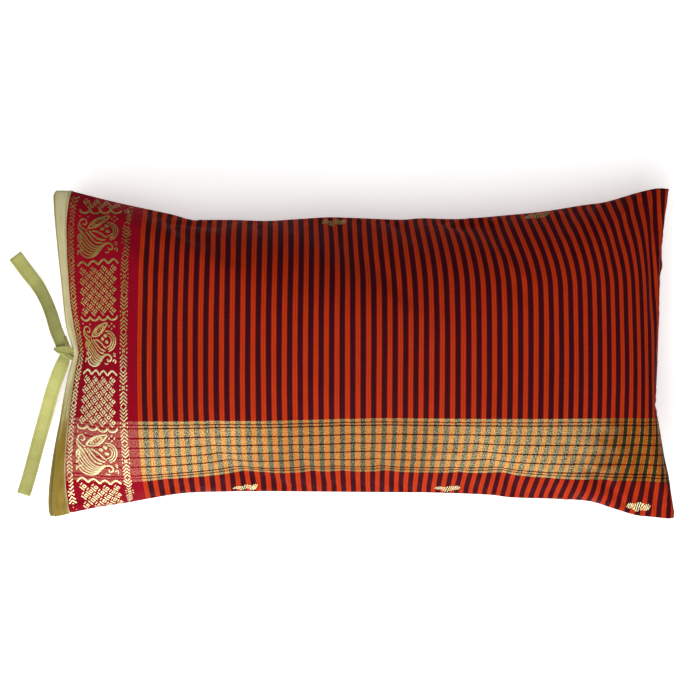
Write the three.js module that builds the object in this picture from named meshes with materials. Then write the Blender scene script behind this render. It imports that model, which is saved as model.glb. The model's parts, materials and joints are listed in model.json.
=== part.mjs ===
// A lumbar pillow of sari cloth, lying on its back. Its left end is open, edged with a narrow
// satin band on both layers, and held shut by a pair of ties knotted at the middle.
//
// Millimetres. The origin is on the surface under the middle of the pillow, +X runs along the
// pillow away from the opening, +Y across it towards its top seam, and +Z up out of its face.

import * as THREE from 'three';
import { mergeVertices } from 'three/addons/utils/BufferGeometryUtils.js';

// Driving dimensions of the filled cover
const THICKNESS = 130; // from the surface to the highest point of the crown
const SEAM_HEIGHT = 56; // the seams' height over the surface at the middle of each side
const CORNER_DROP = 9; // how much lower the four corners lie
const OPENING_DROP = 9; // how much lower the unfilled cloth at the opening hangs
const SEAM_THICKNESS = 2.4; // two layers of cloth and their seam allowance
const BELLY_DEPTH = 72; // how deep the back would bulge if nothing flattened it
const CROWN_HEIGHT = THICKNESS - SEAM_HEIGHT - SEAM_THICKNESS / 2; // of the face, over its seams
const COLUMNS = 44; // facets along the pillow
const ROWS = 26; // facets across the pillow

// How the crown falls away towards the seams: 1 - s ** bulge, raised to the power of round
const CROWN_ALONG = { bulge: 3.2, round: 0.56 };
const CROWN_ACROSS = { bulge: 2.1, round: 0.54 };

// Driving dimensions of the open end
const CLOTH = 2; // thickness of a band, and of a tie folded from it
const GAP = 0.35; // what neighbouring pieces keep between them
const MOUTH_AT_CORNER = 5.8; // outside height of the two layers at a corner
const MOUTH_AT_KNOT = 8.4; // and at the knot, where the ties pass between them
const MOUTH_BETWEEN = 13; // and halfway between, where the opening gapes a little
const LIP = 0.8; // share of the mouth's height left at the bands' free edges
const BACK_BAND_SHIFT = 4; // how far the back band peeks out past the front one, lower down
const BAND_FACETS = 2; // facets from a band's sewn edge to its free edge
const MOUTH_REACH = 0.12; // share of the cover's length over which the mouth closes to a seam
const DROP_REACH = 0.2; // and over which the cloth at the opening hangs lower

// Driving dimensions of the ties
const TIE_WIDTH = 13;
const TIE_THICKNESS = 2;
const TAIL_FACETS = 16; // facets along each tail
const KNOT_CORNERS = 0.72; // how far the knot's rounded corners reach, as a share of its sides

// The seams, in order along each side. The opening is the line where the bands are sewn on.
const TOP_SEAM = [
  { x: -284, y: 159 },
  { x: -233, y: 146 },
  { x: -163, y: 130 },
  { x: -61, y: 131.5 },
  { x: 37, y: 130.5 },
  { x: 120, y: 133 },
  { x: 190, y: 140.5 },
  { x: 250, y: 152 },
  { x: 301, y: 161 },
];
const BOTTOM_SEAM = [
  { x: -287, y: -157 },
  { x: -237, y: -147.5 },
  { x: -184, y: -138.5 },
  { x: -100, y: -135 },
  { x: 57, y: -136 },
  { x: 147, y: -141 },
  { x: 205, y: -143.5 },
  { x: 250, y: -154 },
  { x: 305, y: -162 },
];
const RIGHT_SEAM = [
  { x: 305, y: -162 },
  { x: 302, y: -132 },
  { x: 292.5, y: -78 },
  { x: 287, y: -52 },
  { x: 289.5, y: -20 },
  { x: 291, y: 50 },
  { x: 291.5, y: 100 },
  { x: 297, y: 131 },
  { x: 301, y: 161 },
];
const OPENING = [
  { x: -287, y: -157 },
  { x: -290, y: -119 },
  { x: -288, y: -82 },
  { x: -283.5, y: -40 },
  { x: -277.5, y: -2 },
  { x: -281.5, y: 28 },
  { x: -286, y: 60 },
  { x: -289, y: 115 },
  { x: -284, y: 159 },
];
const BAND_EDGE = [
  { x: -301, y: -160 },
  { x: -303, y: -132 },
  { x: -299, y: -90 },
  { x: -291, y: -40 },
  { x: -283.5, y: 0 },
  { x: -288, y: 22 },
  { x: -294.5, y: 67 },
  { x: -300.5, y: 120 },
  { x: -303.5, y: 159 },
];

// The knot, from its left point to the neck that goes in between the bands: how wide it is across
// the pillow, how thick, and where its middle lies
const KNOT_SECTIONS = [
  { x: -301, wide: 2, thick: 2.6, y: 3 },
  { x: -298, wide: 6, thick: 7, y: 2.4 },
  { x: -293, wide: 10.5, thick: 10.4, y: 1.2 },
  { x: -289, wide: 13, thick: 11, y: 0.2 },
  { x: -286, wide: 11, thick: 9, y: 0 },
  { x: -284.4, wide: 9, thick: 2.1, y: 0 },
  { x: -280, wide: 9, thick: 2.1, y: 0 },
];

// The middle lines of the two tails, from the knot out. z is the height of the strip's middle.
const UPPER_TAIL = [
  { x: -294.4, y: 6.5, z: 47 },
  { x: -295.8, y: 13, z: 46 },
  { x: -299.5, y: 23, z: 40 },
  { x: -304.5, y: 38, z: 28 },
  { x: -311, y: 53, z: 15 },
  { x: -320.5, y: 68.5, z: 4.5 },
  { x: -331, y: 83, z: 1 },
  { x: -341, y: 96, z: 1 },
];
const LOWER_TAIL = [
  { x: -291, y: -4.5, z: 51 },
  { x: -292.8, y: -11, z: 52.4 },
  { x: -296, y: -19, z: 50 },
  { x: -302.7, y: -37, z: 36 },
  { x: -310, y: -60.5, z: 15 },
  { x: -319, y: -94, z: 1 },
  { x: -327, y: -121, z: 1 },
  { x: -333, y: -140, z: 1 },
];

// Looks
const SARI_CLOTH = { color: 0x8a1c18, roughness: 0.7, metalness: 0 };
const BAND_SATIN = { color: 0xb5ad6c, roughness: 0.45, metalness: 0 };
const TIE_COTTON = { color: 0xb5b96c, roughness: 0.8, metalness: 0 };

const { lerp, smoothstep } = THREE.MathUtils;

/** The smooth line through a list of points in plan. */
function planLine(points) {
  return new THREE.SplineCurve(points.map((p) => new THREE.Vector2(p.x, p.y)));
}

const top = planLine(TOP_SEAM);
const bottom = planLine(BOTTOM_SEAM);
const right = planLine(RIGHT_SEAM);
const opening = planLine(OPENING);
const bandEdge = planLine(BAND_EDGE);

/** A place in plan, between the four seams. along and across run from 0 to 1. */
function placeInPlan(along, across) {
  const up = [bottom.getPointAt(along), top.getPointAt(along)];
  const sideways = [opening.getPointAt(across), right.getPointAt(across)];
  const low = [bottom.getPointAt(0), bottom.getPointAt(1)];
  const high = [top.getPointAt(0), top.getPointAt(1)];
  const blend = (axis) => {
    const mix = (ends, share) => lerp(ends[0][axis], ends[1][axis], share);
    return mix(up, across) + mix(sideways, along) - lerp(mix(low, along), mix(high, along), across);
  };
  return new THREE.Vector2(blend('x'), blend('y'));
}

/** How full the pillow is there: 0 on the seams, 1 at the middle. */
function fullness(along, across) {
  const fall = (share, { bulge, round }) => (1 - Math.abs(2 * share - 1) ** bulge) ** round;
  return fall(along, CROWN_ALONG) * fall(across, CROWN_ACROSS);
}

/** The height of the plane in which the seams lie. It sinks towards the corners. */
function seamHeight(along, across) {
  const toCorner = Math.abs(2 * along - 1) ** 4 * Math.abs(2 * across - 1) ** 4;
  const toOpening = 1 - smoothstep(along, 0, DROP_REACH);
  return SEAM_HEIGHT - CORNER_DROP * toCorner - OPENING_DROP * toOpening;
}

/** Half the outside height of the two layers at the opening. */
function halfMouth(across) {
  const fromKnot = Math.abs(2 * across - 1);
  const toEnd = lerp(MOUTH_AT_KNOT, MOUTH_AT_CORNER, fromKnot);
  const gape = MOUTH_BETWEEN - (MOUTH_AT_KNOT + MOUTH_AT_CORNER) / 2;
  return (toEnd + gape * Math.sin(Math.PI * fromKnot) ** 2) / 2;
}

/** Half the thickness that the solid keeps where its crown has run out. */
function halfEdge(along, across) {
  const nearOpening = 1 - smoothstep(along, 0, MOUTH_REACH);
  return lerp(SEAM_THICKNESS / 2, halfMouth(across), nearOpening);
}

/** The height of the cover's front (side 1) or back (side -1). The surface flattens the back. */
function coverHeight(along, across, side) {
  const full = fullness(along, across);
  const seam = seamHeight(along, across);
  const edge = halfEdge(along, across);
  if (side > 0) {
    return seam + edge + CROWN_HEIGHT * full;
  }
  return Math.max(0, seam - edge - BELLY_DEPTH * full);
}

/** A closed solid made by moving each point of a divided box. place gets three shares, 0 to 1. */
function solid(name, look, [across, deep, high], place) {
  const box = new THREE.BoxGeometry(1, 1, 1, across, deep, high);
  box.deleteAttribute('normal');
  box.deleteAttribute('uv');
  const geometry = mergeVertices(box);
  const points = geometry.attributes.position;
  for (let i = 0; i < points.count; i++) {
    const p = place(points.getX(i) + 0.5, points.getY(i) + 0.5, points.getZ(i) + 0.5);
    points.setXYZ(i, p.x, p.y, p.z);
  }
  geometry.computeVertexNormals();
  const mesh = new THREE.Mesh(geometry, new THREE.MeshStandardMaterial({ flatShading: true, ...look }));
  mesh.name = name;
  return mesh;
}

/** The two sewn panels and their filling, as one solid with a thin edge along the seams. */
function filledCover() {
  return solid('filled_cover', SARI_CLOTH, [COLUMNS, ROWS, 1], (along, across, side) => {
    const plan = placeInPlan(along, across);
    return new THREE.Vector3(plan.x, plan.y, coverHeight(along, across, side > 0.5 ? 1 : -1));
  });
}

/** One of the two bands: a thin strip from the cover's opening out to its free edge. */
function openingBand(name, side) {
  return solid(name, BAND_SATIN, [BAND_FACETS, ROWS, 1], (out, across, upward) => {
    const inner = opening.getPointAt(across);
    const outer = bandEdge.getPointAt(across);
    const peek = side < 0 ? BACK_BAND_SHIFT * (1 - smoothstep(across, 0.1, 0.4)) : 0;
    const share = 1 - out;
    const outside = halfMouth(across) * lerp(1, LIP, share);
    const fromMiddle = (side > 0) === (upward > 0.5) ? outside : outside - CLOTH;
    return new THREE.Vector3(
      lerp(inner.x - GAP, outer.x - peek, share),
      lerp(inner.y, outer.y, share),
      seamHeight(0, across) + side * fromMiddle,
    );
  });
}

/** The place at a share of the way along a list of sections, by a named value. */
function between(sections, share, value) {
  const at = share * (sections.length - 1);
  const k = Math.min(Math.floor(at), sections.length - 2);
  return lerp(sections[k][value], sections[k + 1][value], at - k);
}

/** The knot: an eight-sided form that swells from its left point and narrows to its neck. */
function tieKnot() {
  const sections = KNOT_SECTIONS.length - 1;
  const middle = seamHeight(0, 0.5);
  return solid('tie_knot', TIE_COTTON, [sections, 2, 2], (share, across, upward) => {
    const reach = across !== 0.5 && upward !== 0.5 ? KNOT_CORNERS : 1;
    const sideways = (across - 0.5) * between(KNOT_SECTIONS, share, 'wide') * reach;
    const upwards = (upward - 0.5) * between(KNOT_SECTIONS, share, 'thick') * reach;
    return new THREE.Vector3(
      between(KNOT_SECTIONS, share, 'x'),
      between(KNOT_SECTIONS, share, 'y') + sideways,
      middle + upwards,
    );
  });
}

/** One tail of the ties: a flat strip that falls from the knot and lies down on the surface. */
function tieTail(name, points) {
  const line = new THREE.CatmullRomCurve3(points.map((p) => new THREE.Vector3(p.x, p.y, p.z)));
  const upwards = new THREE.Vector3(0, 0, 1);
  return solid(name, TIE_COTTON, [TAIL_FACETS, 1, 1], (share, across, upward) => {
    const ahead = line.getTangentAt(share);
    const sideways = upwards.clone().cross(ahead).normalize();
    const outward = ahead.clone().cross(sideways);
    const place = line.getPointAt(share);
    place.addScaledVector(sideways, (across - 0.5) * TIE_WIDTH);
    place.addScaledVector(outward, (upward - 0.5) * TIE_THICKNESS);
    place.z = Math.max(0, place.z);
    return place;
  });
}

const pillow = new THREE.Group();
pillow.add(filledCover());
pillow.add(openingBand('opening_band_front', 1));
pillow.add(openingBand('opening_band_back', -1));
pillow.add(tieKnot());
pillow.add(tieTail('tie_upper_tail', UPPER_TAIL));
pillow.add(tieTail('tie_lower_tail', LOWER_TAIL));

export default pillow;
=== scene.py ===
"""A lumbar pillow in striped sari cloth with a brocade border. It lies on its back, filled, and its
open left end is edged with satin bands and held shut by a pair of knotted ties.

The front and back panels are flat grids that a cloth simulation fills. Each keeps its flat cloth
coordinates: u runs along the pillow from the opening, v across it from the bottom seam, both in
millimetres. The stripes, the gold checks and the brocade are all placed by u and v."""

import json
import math

import bmesh
import bpy
import numpy as np
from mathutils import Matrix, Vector

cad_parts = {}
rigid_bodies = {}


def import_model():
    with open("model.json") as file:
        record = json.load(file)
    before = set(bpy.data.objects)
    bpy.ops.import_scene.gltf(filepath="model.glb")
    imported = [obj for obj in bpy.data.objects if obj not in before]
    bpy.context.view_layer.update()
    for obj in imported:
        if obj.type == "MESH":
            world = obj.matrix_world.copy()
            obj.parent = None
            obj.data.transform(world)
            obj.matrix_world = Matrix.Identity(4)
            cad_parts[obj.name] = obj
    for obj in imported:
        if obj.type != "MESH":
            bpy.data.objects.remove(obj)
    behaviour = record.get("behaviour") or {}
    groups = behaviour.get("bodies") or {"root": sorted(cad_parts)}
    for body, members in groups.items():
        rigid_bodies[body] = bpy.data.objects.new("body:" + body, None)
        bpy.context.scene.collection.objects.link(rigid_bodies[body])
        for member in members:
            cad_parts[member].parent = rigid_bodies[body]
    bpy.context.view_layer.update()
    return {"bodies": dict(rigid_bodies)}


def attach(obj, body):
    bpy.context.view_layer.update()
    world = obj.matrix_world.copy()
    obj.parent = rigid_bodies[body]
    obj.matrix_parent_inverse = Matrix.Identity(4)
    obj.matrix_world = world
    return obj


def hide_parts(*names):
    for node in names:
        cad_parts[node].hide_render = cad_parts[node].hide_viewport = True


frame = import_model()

MM = 0.001  # millimetres to Blender's metres
BODY = next(iter(frame["bodies"]))
SCENE = bpy.context.scene
CHANCE = np.random.default_rng(11)

# Cut sizes of the cloth, in millimetres
CELL = 2.25  # the side of a cell in the fine grid that is rendered
BAND = 8 * CELL  # from the opening's free edge to the seam where the band is sewn on
LENGTH = 273 * CELL  # the cover, from that seam to the right seam
WIDTH = 145 * CELL  # from the bottom seam to the top seam

# The filled shape, in millimetres
CROWN = 74.0  # the face's highest point over the seams
BELLY = 72.0  # the back's depth under the seams, before the surface flattens it
SEAM_HEIGHT = 56.0
CORNER_DROP = 9.0
OPENING_DROP = 9.0
FLOOR_ROUNDING = 5.0  # height over which the back rolls off the surface
BACK_PEEK = 4.0  # how far the back band's edge shows past the front one, lower down
LIP_APART = 9.0  # between the two panels at the free edge, halfway from a corner to the knot
LIP_AT_KNOT = 4.0
LIP_FADE = 34.0  # from the free edge to where the filling alone holds the panels apart
BAND_REACH = 46.0  # from the band's seam to where the filling alone sets the plan
STEEP_EDGE = 0.6  # how much steeper the cloth climbs just beyond the band, halfway along the opening
SEAM_LEAN = (0.18, -0.25)  # how the bottom and top seams run in from the corners at the opening

# Simulation
SIM_COLUMNS = 112
SIM_ROWS = 58
SEWN_FRAMES = 12  # frames over which the seams draw in from the flat cloth to their outlines
SIM_FRAMES = 32
SIM_PRESSURE = 9.0
FOLDS_KEPT = 0.3  # how much of the simulated folds stays away from the seams

# The seams' outlines in plan, in millimetres in the part's frame
TOP_SEAM = (
    (-303.5, 159.4), (-294.0, 161.4), (-284.1, 159.0), (-257.6, 152.1), (-233.1, 146.2), (-201.8, 139.4),
    (-184.0, 135.4), (-170.0, 131.2), (-162.6, 129.6), (-153.8, 130.5), (-124.4, 130.5), (-93.0, 129.6),
    (-60.7, 131.5), (-33.2, 133.1), (-8.7, 132.5), (37.3, 130.8), (58.9, 132.1), (96.1, 131.5),
    (144.2, 135.4), (177.5, 138.8), (215.7, 144.9), (239.2, 148.4), (272.5, 158.0), (290.2, 161.6),
    (301.0, 161.0),
)
BOTTOM_SEAM = (
    (-301.7, -160.3), (-287.0, -156.9), (-271.4, -152.7), (-237.1, -147.8), (-210.6, -142.9),
    (-184.1, -138.3), (-162.6, -136.3), (-132.2, -135.6), (-99.9, -135.2), (37.3, -136.3), (56.9, -136.3),
    (97.1, -137.4), (127.5, -138.9), (147.1, -141.3), (194.1, -142.9), (223.5, -145.2), (246.7, -152.3),
    (267.6, -158.6), (280.0, -160.1), (299.0, -162.0), (305.8, -161.5),
)
RIGHT_SEAM = (
    (305.8, -161.5), (306.4, -157.6), (302.9, -136.0), (300.5, -120.3), (295.7, -98.8), (289.5, -62.5),
    (286.4, -52.0), (288.6, -26.3), (290.9, 42.3), (290.6, 74.7), (291.7, 86.4), (291.2, 99.2),
    (293.1, 110.0), (295.7, 122.7), (297.1, 135.4), (299.2, 147.2), (301.0, 161.0),
)
MOUTH_EDGE = (
    (-301.7, -160.3), (-303.7, -153.7), (-303.7, -139.0), (-301.2, -111.5), (-298.2, -82.0),
    (-294.1, -53.7), (-288.7, -26.3), (-284.0, -8.0), (-282.4, 1.2), (-284.5, 9.0), (-290.0, 27.6),
    (-292.9, 50.2), (-294.5, 66.8), (-298.4, 101.0), (-301.7, 134.5), (-303.5, 159.4),
)
BAND_SEAM = (
    (-287.0, -156.9), (-288.1, -147.8), (-290.0, -129.2), (-290.0, -105.6), (-288.1, -82.1),
    (-285.8, -58.6), (-283.4, -40.0), (-279.8, -16.5), (-277.4, -3.0), (-277.2, 3.1), (-281.6, 27.6),
    (-284.9, 50.2), (-286.6, 72.7), (-288.3, 101.1), (-288.8, 128.6), (-287.1, 146.2), (-284.1, 159.0),
)

# The weave, in millimetres of cloth
STRIPES_FROM = 77.4
STRIPE_PITCH = 10.2
CROWDED_FROM = 470.0  # from here to the right seam the stripes crowd together
CROWDING = 12.0  # by so much in all
DRAG = 18.0  # how far the filling drags the stripes aside at the top and bottom seams
DRAG_GROWS = (240, 520)  # along the pillow, from none to all of it
DRAG_EASES = 540
GUARD_ONE = (5.0, 3.8)  # middle and half width of the border's first narrow band
GUARD_TWO = (62.7, 4.6)
GUARD_PITCH = 36.4
GUARD_MIDDLE = 147.5
GUARD_RINGS = 5  # diamonds nested in one another
FIELD = (12.4, 55.8)  # the border's main field
SCALLOPS = (33.4, 88.4, 143.4, 198.4, 253.4, 308.4)  # lines between lattice and paisley
GILT_LIGHT_EASES = (135, 185)  # up the border, where the gilt's painted light eases from full to middling
# Up the border, where painted shade makes the gilt duller still
GILT_SHADE_DEEPENS = (215, 265)
CHECK_TOP = 96.4
CHECK_CLIMB = 3.7  # how much higher the checks lie in the right half
CHECK_ROWS = (
    (3.1, 1.2), (2.0, 1.4), (8.4, 1.5), (8.4, 1.5), (8.4, 1.5), (8.4, 1.5), (8.4, 1.5), (2.0, 1.2),
    (3.0, 0.0),
)  # from the top: how tall a gold row is, and the gap under it
CHECK_CLIMBS = (190, 340)  # along the pillow, from none to all of the climb
GAP_SHADE = 0.45  # how much of its light the cloth keeps between the gold rows
GOLD_SHADED = (190, 380)  # where the rows' gold has painted shade
GOLD_LIGHT_FADES = (500, 560)  # where the painted light on the rows' gold fades toward the right seam


# Camera and light

PHOTO_SIDE = 700  # pixels
PHOTO_PIXEL = 0.98 * MM  # one pixel of the photograph at the height of the seams
PHOTO_MIDDLE = (-11.7 * MM, 3.1 * MM)
CAMERA_DISTANCE = 6.0  # in metres, over the seams
SEAMS_AT = 50 * MM  # the seams' mean height
ROOM_LIGHT = 0.26
FLOOR_HALF = 6.0  # half of the floor's side, in metres
FLOOR_LEVEL = -0.4 * MM
FLOOR_GLOW = 0.45  # the floor shines a little, as a light table does
PALE = (0.93, 0.93, 0.93)


def add_camera():
    """Looks straight down, with the photograph's scale at the seams."""
    data = bpy.data.cameras.new("camera")
    data.lens = data.sensor_width * CAMERA_DISTANCE / (PHOTO_SIDE * PHOTO_PIXEL)
    camera = bpy.data.objects.new("camera", data)
    camera.location = (*PHOTO_MIDDLE, CAMERA_DISTANCE + SEAMS_AT)
    SCENE.collection.objects.link(camera)
    SCENE.camera = camera
    SCENE.view_settings.view_transform = "Standard"


def add_room_light():
    world = bpy.data.worlds.new("studio")
    world.use_nodes = True
    background = world.node_tree.nodes["Background"]
    background.inputs["Color"].default_value = (1, 1, 1, 1)
    background.inputs["Strength"].default_value = ROOM_LIGHT
    SCENE.world = world


def add_floor():
    mesh = bpy.data.meshes.new("floor")
    half = FLOOR_HALF
    corners = [(x, y, FLOOR_LEVEL) for x, y in ((-half, -half), (half, -half), (half, half), (-half, half))]
    mesh.from_pydata(corners, [], [(0, 1, 2, 3)])
    floor = bpy.data.objects.new("floor", mesh)
    SCENE.collection.objects.link(floor)
    paper = Recipe("floor_paper")
    paper.set(color=PALE, roughness=0.9, specular=0.1)
    paper.surface.inputs["Emission Color"].default_value = (1, 1, 1, 1)
    paper.surface.inputs["Emission Strength"].default_value = FLOOR_GLOW
    mesh.materials.append(paper.material)


def add_softbox(name, power, size, place):
    """A rectangular soft light that faces the pillow."""
    data = bpy.data.lights.new(name, "AREA")
    data.shape = "RECTANGLE"
    data.size, data.size_y = size
    data.energy = power
    light = bpy.data.objects.new(name, data)
    light.location = place
    light.rotation_euler = (-Vector(place)).to_track_quat("-Z", "Y").to_euler()
    SCENE.collection.objects.link(light)


# Materials


FULL_LIGHT = 1.25  # how bright a white face is that lies level in this light


def linear(code):
    """A colour as it looks in the photograph's full light, from its web code, as linear light."""
    channels = [int(code[k:k + 2], 16) / 255 for k in (1, 3, 5)]
    return tuple(((c + 0.055) / 1.055) ** 2.4 / FULL_LIGHT for c in channels)


class Formula:
    """A number that shader nodes work out at each point of a surface."""

    def __init__(self, tree, socket):
        self.tree, self.socket = tree, socket

    def math(self, operation, *others):
        node = self.tree.nodes.new("ShaderNodeMath")
        node.operation = operation
        for plug, value in zip(node.inputs, (self, *others)):
            if isinstance(value, Formula):
                self.tree.links.new(value.socket, plug)
            else:
                plug.default_value = value
        return Formula(self.tree, node.outputs[0])

    def __add__(self, other):
        return self.math("ADD", other)

    def __sub__(self, other):
        return self.math("SUBTRACT", other)

    def __mul__(self, other):
        return self.math("MULTIPLY", other)

    def __truediv__(self, other):
        return self.math("DIVIDE", other)

    def fract(self):
        return self.math("FRACT")

    def sine(self):
        return self.math("SINE")

    def most(self, other):
        return self.math("MAXIMUM", other)

    def ramp(self, low, high, first=0.0, last=1.0):
        """first where this is under low, last where it is over high, and a smooth change between."""
        node = self.tree.nodes.new("ShaderNodeMapRange")
        node.interpolation_type = "SMOOTHSTEP"
        self.tree.links.new(self.socket, node.inputs["Value"])
        for name, value in (("From Min", low), ("From Max", high), ("To Min", first), ("To Max", last)):
            node.inputs[name].default_value = value
        return Formula(self.tree, node.outputs["Result"])

    def between(self, low, high, soft):
        """One from low to high and nought elsewhere, with edges as soft as this."""
        return self.ramp(low - soft / 2, low + soft / 2) * self.ramp(high - soft / 2, high + soft / 2, 1, 0)


class Recipe:
    """A material that is put together from formulas."""

    def __init__(self, name):
        self.material = bpy.data.materials.new(name)
        self.material.use_nodes = True
        self.tree = self.material.node_tree
        self.surface = self.tree.nodes["Principled BSDF"]

    def set(self, color, roughness, specular, metallic=0.0):
        names = {"Roughness": roughness, "Metallic": metallic, "Specular IOR Level": specular}
        for name, value in names.items():
            if isinstance(value, Formula):
                self.tree.links.new(value.socket, self.surface.inputs[name])
            else:
                self.surface.inputs[name].default_value = value
        if isinstance(color, tuple):
            self.surface.inputs["Base Color"].default_value = (*color, 1)
        else:
            self.tree.links.new(color, self.surface.inputs["Base Color"])

    def cloth(self):
        """The flat cloth's coordinates, in millimetres."""
        node = self.tree.nodes.new("ShaderNodeUVMap")
        node.uv_map = "cloth"
        parts = self.tree.nodes.new("ShaderNodeSeparateXYZ")
        self.tree.links.new(node.outputs["UV"], parts.inputs["Vector"])
        return Formula(self.tree, parts.outputs["X"]), Formula(self.tree, parts.outputs["Y"])

    def noise(self, across, along, detail=2.0):
        """Random cloudiness from about 0.2 to 0.8, by two coordinates that count in clouds."""
        join = self.tree.nodes.new("ShaderNodeCombineXYZ")
        self.tree.links.new(across.socket, join.inputs["X"])
        self.tree.links.new(along.socket, join.inputs["Y"])
        node = self.tree.nodes.new("ShaderNodeTexNoise")
        node.noise_dimensions = "2D"
        node.inputs["Scale"].default_value = 1.0
        node.inputs["Detail"].default_value = detail
        self.tree.links.new(join.outputs["Vector"], node.inputs["Vector"])
        return Formula(self.tree, node.outputs[0])

    def mix(self, first, last, share):
        """The colour first where share is 0 and last where it is 1."""
        node = self.tree.nodes.new("ShaderNodeMix")
        node.data_type = "RGBA"
        for plug, value in ((node.inputs[6], first), (node.inputs[7], last)):
            if isinstance(value, tuple):
                plug.default_value = (*value, 1)
            else:
                self.tree.links.new(value, plug)
        self.tree.links.new(share.socket, node.inputs[0])
        return node.outputs[2]

    def shade(self, color, share):
        """The colour made darker by share, which is 1 where it stays."""
        node = self.tree.nodes.new("ShaderNodeVectorMath")
        node.operation = "SCALE"
        self.tree.links.new(color, node.inputs[0])
        self.tree.links.new(share.socket, node.inputs["Scale"])
        return node.outputs[0]

    def bump(self, height, depth):
        """Raises the surface by depth millimetres where height is 1."""
        node = self.tree.nodes.new("ShaderNodeBump")
        node.inputs["Distance"].default_value = depth * MM
        self.tree.links.new(height.socket, node.inputs["Height"])
        self.tree.links.new(node.outputs["Normal"], self.surface.inputs["Normal"])


def weave(u, v, pitch):
    """A plain weave of threads this far apart."""
    turn = 2 * math.pi / pitch
    return (u * turn).sine() * (v * turn).sine() * 0.5 + 0.5


def gold_rows(u, v):
    """One in the checks' gold rows."""
    rows, top = None, CHECK_TOP
    v = v - u.ramp(*CHECK_CLIMBS, 0, CHECK_CLIMB)
    for tall, gap in CHECK_ROWS:
        row = v.between(top - tall, top, 0.5)
        rows = row if rows is None else rows + row
        top -= tall + gap
    return rows


def stripe_phase(r, u, v):
    """How far a point is across its pair of stripes, from 0 to 1."""
    wander = (r.noise(u / 35, v / 120) - 0.5) * 1.1
    crowd = ((u - CROWDED_FROM) / (LENGTH - CROWDED_FROM)).most(0).math("POWER", 2.2) * CROWDING
    off_middle = (v / WIDTH - 0.5).math("ABSOLUTE")
    dragged = off_middle.ramp(0.2, 0.53) * u.ramp(*DRAG_GROWS, 0, DRAG) * u.ramp(DRAG_EASES, LENGTH, 1, 0.35)
    return ((u + wander + crowd + dragged - STRIPES_FROM) / STRIPE_PITCH).fract()


def check_gold(r, u, v, is_orange, is_maroon, field):
    """The colour of the checks' gold rows where they cross the stripes and the border, with painted light
    that fades toward the right seam, painted shade over one stretch and painted glints.
    """
    # Painted glints: random specks of the gold lightened as if catching the light
    glints = r.noise(u / 1.3, v / 1.1, 3.0).ramp(0.42, 0.6)
    cloudy = u + (r.noise(u / 30, v / 12) - 0.5) * 60
    # Painted light on the gold: it fades toward the right seam and has painted shade over GOLD_SHADED
    lit = cloudy.ramp(*GOLD_LIGHT_FADES, 1, 0) - cloudy.between(*GOLD_SHADED, 70) * 0.6
    # Each gold mixes a shaded copy with a lit copy that carries the painted glints
    on_orange = r.mix(linear("#B0620A"), r.mix(linear("#C4802A"), linear("#E2BE76"), glints), lit)
    on_maroon = r.mix(linear("#2C3816"), r.mix(linear("#4A5236"), linear("#B4B48C"), glints), lit)
    on_crimson = r.mix(linear("#A82C30"), linear("#DC9C88"), glints)
    gold = r.mix(on_crimson, on_orange, is_orange)
    gold = r.mix(gold, on_maroon, is_maroon)
    return r.mix(on_crimson, gold, field)


def sari_cloth():
    """Silk and cotton: a crimson border, then orange and maroon stripes, with a band of gold checks."""
    r = Recipe("sari_cloth")
    u, v = r.cloth()
    phase = stripe_phase(r, u, v)
    field = u.ramp(STRIPES_FROM - 0.2, STRIPES_FROM + 0.2)
    streaks = r.noise(u / 0.7, v / 25)
    slubs = r.noise(u / 22, v / 0.8)
    crimson = r.mix(linear("#7C041A"), linear("#9A0A20"), streaks)
    orange = r.mix(linear("#A82C0A"), linear("#C43C12"), streaks)
    orange = r.mix(orange, linear("#8C2408"), phase.between(0.19, 0.27, 0.06) * 0.55)
    maroon = r.mix(linear("#2A0A10"), linear("#421018"), streaks)
    is_orange = phase.between(0.0, 0.43, 0.045)
    is_maroon = phase.between(0.49, 0.935, 0.045)
    striped = r.mix(linear("#80081A"), orange, is_orange)
    striped = r.mix(striped, maroon, is_maroon)
    plain = r.mix(crimson, striped, field)
    gold = check_gold(r, u, v, is_orange, is_maroon, field)
    between_rows = v.between(CHECK_TOP - 60, CHECK_TOP + CHECK_CLIMB - 4, 1.0) * field
    plain = r.shade(plain, between_rows * (GAP_SHADE - 1) + 1)
    show = gold_rows(u, v) * (field * 0.42 + 0.5)
    color = r.mix(plain, gold, show)
    color = r.shade(color, slubs * 0.3 + 0.85)
    r.set(color=color, roughness=0.6, metallic=show * 0.25, specular=0.02)
    r.bump(weave(u, v, 0.9) * 0.5 + streaks * 0.5, 0.12)
    return r.material


def gold_thread():
    """Flat gilt thread that floats on the cloth, with painted light low on the pillow, painted shade toward
    the top and painted glints.
    """
    r = Recipe("gold_thread")
    u, v = r.cloth()
    # Painted glints: random specks of the thread lightened as if catching the light
    glint = r.noise(u / 0.8, v / 2.5, 3.0).ramp(0.3, 0.62)
    # Lit, half-lit and shaded copies of the gilt: painted light low on the pillow, painted shade toward the
    # top
    lit_gilt = r.mix(linear("#CDBB70"), linear("#FFFBC8"), glint)
    middle = r.mix(linear("#8A7836"), linear("#CAB86C"), glint)
    shaded_gilt = r.mix(linear("#6E5A22"), linear("#947E38"), glint)
    shade_height = v + (r.noise(u / 30, v / 30) - 0.5) * 60
    color = r.mix(lit_gilt, middle, shade_height.ramp(*GILT_LIGHT_EASES))
    color = r.mix(color, shaded_gilt, shade_height.ramp(*GILT_SHADE_DEEPENS))
    r.set(color=color, roughness=0.42, metallic=0.5, specular=0.4)
    r.bump(weave(u * 0.3, v, 0.8), 0.08)
    return r.material


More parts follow.
